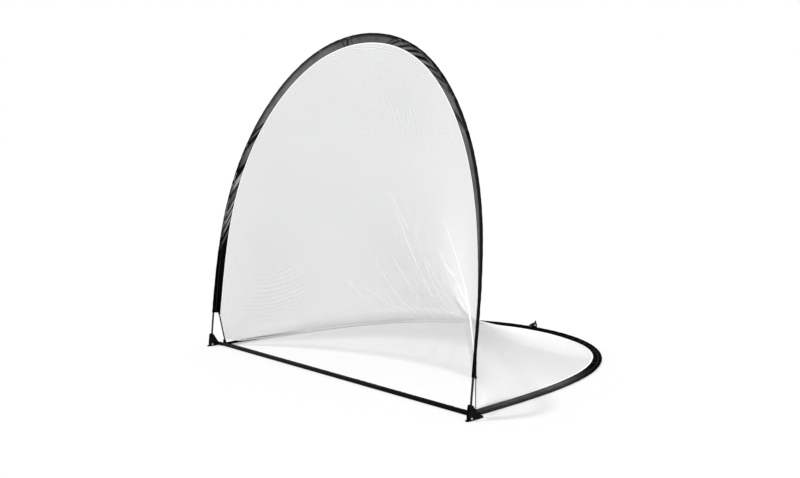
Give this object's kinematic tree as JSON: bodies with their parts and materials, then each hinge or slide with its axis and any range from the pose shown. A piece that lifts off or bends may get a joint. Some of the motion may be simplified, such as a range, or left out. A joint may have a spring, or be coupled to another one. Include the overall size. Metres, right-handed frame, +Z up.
{
  "type": "folding net goal",
  "caption": "Free-standing fold-down net goal: a sleeved pole arch hinged at its feet to a sleeved D-shaped ground frame, with a fine taut net between them.",
  "frame": {"origin": "on the ground under the middle of the crossbar, on the goal line", "axes": "+X to the right along the goal line seen from the mouth, +Y into the goal, +Z up"},
  "size_m": [2.1546, 1.8253, 1.8173],
  "materials": {
    "pole_fibreglass": "smooth pultruded glass-fibre rod",
    "ferrule_steel": "drawn steel",
    "shock_cord": "braided cover",
    "sleeve_cloth": "coated woven polyester",
    "moulded_nylon": "moulded, matt",
    "pin_steel": "turned",
    "bar_paint": "powder coat",
    "strap_webbing": "woven webbing",
    "net_mesh": "fine knitted mesh"
  },
  "bodies": {
    "base": {"bow_pole_1": "pole_fibreglass", "bow_pole_2": "pole_fibreglass", "bow_pole_3": "pole_fibreglass", "bow_pole_4": "pole_fibreglass", "bow_pole_5": "pole_fibreglass", "bow_pole_6": "pole_fibreglass", "bow_pole_7": "pole_fibreglass", "bow_ferrules": "ferrule_steel", "bow_shock_cord": "shock_cord", "bow_sleeve": "sleeve_cloth", "crossbar_sleeve": "sleeve_cloth", "foot_left": "moulded_nylon", "foot_right": "moulded_nylon", "pivot_pin_left": "pin_steel", "pivot_pin_right": "pin_steel", "crossbar_tube_left": "bar_paint", "crossbar_tube_middle": "bar_paint", "crossbar_tube_right": "bar_paint", "crossbar_joiners": "ferrule_steel", "strap_anchor_left": "moulded_nylon", "strap_anchor_right": "moulded_nylon", "edge_strap_left": "strap_webbing", "edge_strap_right": "strap_webbing", "net": "net_mesh", "keeper_tab": "strap_webbing", "keeper_toggle": "moulded_nylon"},
    "arch": {"arch_pole_1": "pole_fibreglass", "arch_pole_2": "pole_fibreglass", "arch_pole_3": "pole_fibreglass", "arch_pole_4": "pole_fibreglass", "arch_pole_5": "pole_fibreglass", "arch_pole_6": "pole_fibreglass", "arch_pole_7": "pole_fibreglass", "arch_ferrules": "ferrule_steel", "arch_shock_cord": "shock_cord", "arch_sleeve": "sleeve_cloth", "pole_cup_left": "moulded_nylon", "pole_cup_right": "moulded_nylon", "strap_slider_left": "moulded_nylon", "strap_slider_right": "moulded_nylon"}
  },
  "joints": [
    {"name": "arch_fold", "type": "hinge", "parent": "base", "child": "arch", "pos_m": [0, -0.055, 0.012], "axis": [-1, 0, 0], "range_deg": [0, 74], "deforming": ["net", "edge_strap_left", "edge_strap_right"]}
  ]
}
